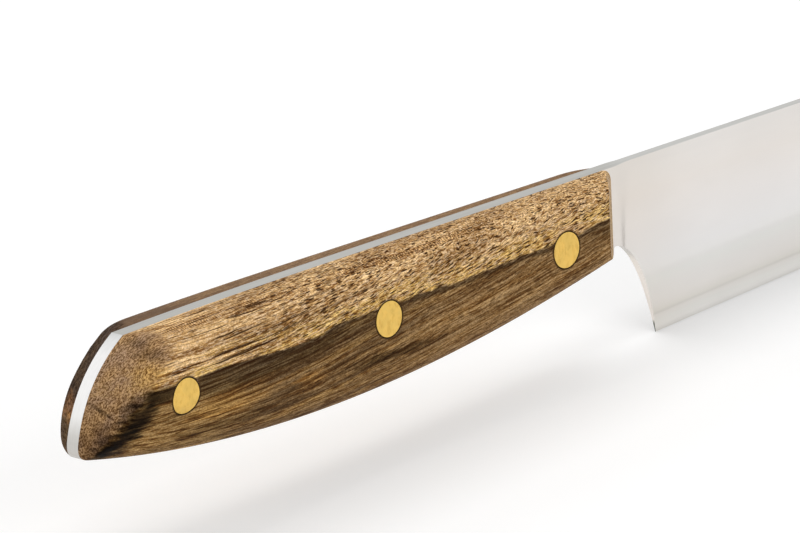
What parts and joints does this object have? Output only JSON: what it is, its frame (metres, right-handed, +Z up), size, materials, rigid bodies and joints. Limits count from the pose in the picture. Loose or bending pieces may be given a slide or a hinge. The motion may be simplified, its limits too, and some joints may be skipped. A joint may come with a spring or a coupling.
{
  "type": "slicing knife",
  "caption": "Long single-bevel slicing knife with a full tang between riveted wooden scales, for cutting thin slices in one drawn stroke.",
  "frame": {"origin": "below the middle of the knife's whole length, in the middle of the tang's thickness, level with the heel, which is its lowest point as it stands spine up", "axes": "+X along the spine from butt to tip, +Y across the knife from the bevelled face to the flat back, +Z up from the cutting edge to the spine"},
  "size_m": [0.3756, 0.0166, 0.0311],
  "materials": {
    "blade_steel": "fine satin on the faces, brighter round the butt",
    "scale_wood": "oiled hardwood with dark streaks and open pores",
    "rivet_brass": "ground flush, fine matte"
  },
  "bodies": {
    "root": {"blade": "blade_steel", "right_scale": "scale_wood", "left_scale": "scale_wood", "front_rivet_post": "rivet_brass", "front_rivet_barrel": "rivet_brass", "middle_rivet_post": "rivet_brass", "middle_rivet_barrel": "rivet_brass", "rear_rivet_post": "rivet_brass", "rear_rivet_barrel": "rivet_brass"}
  },
  "joints": []
}
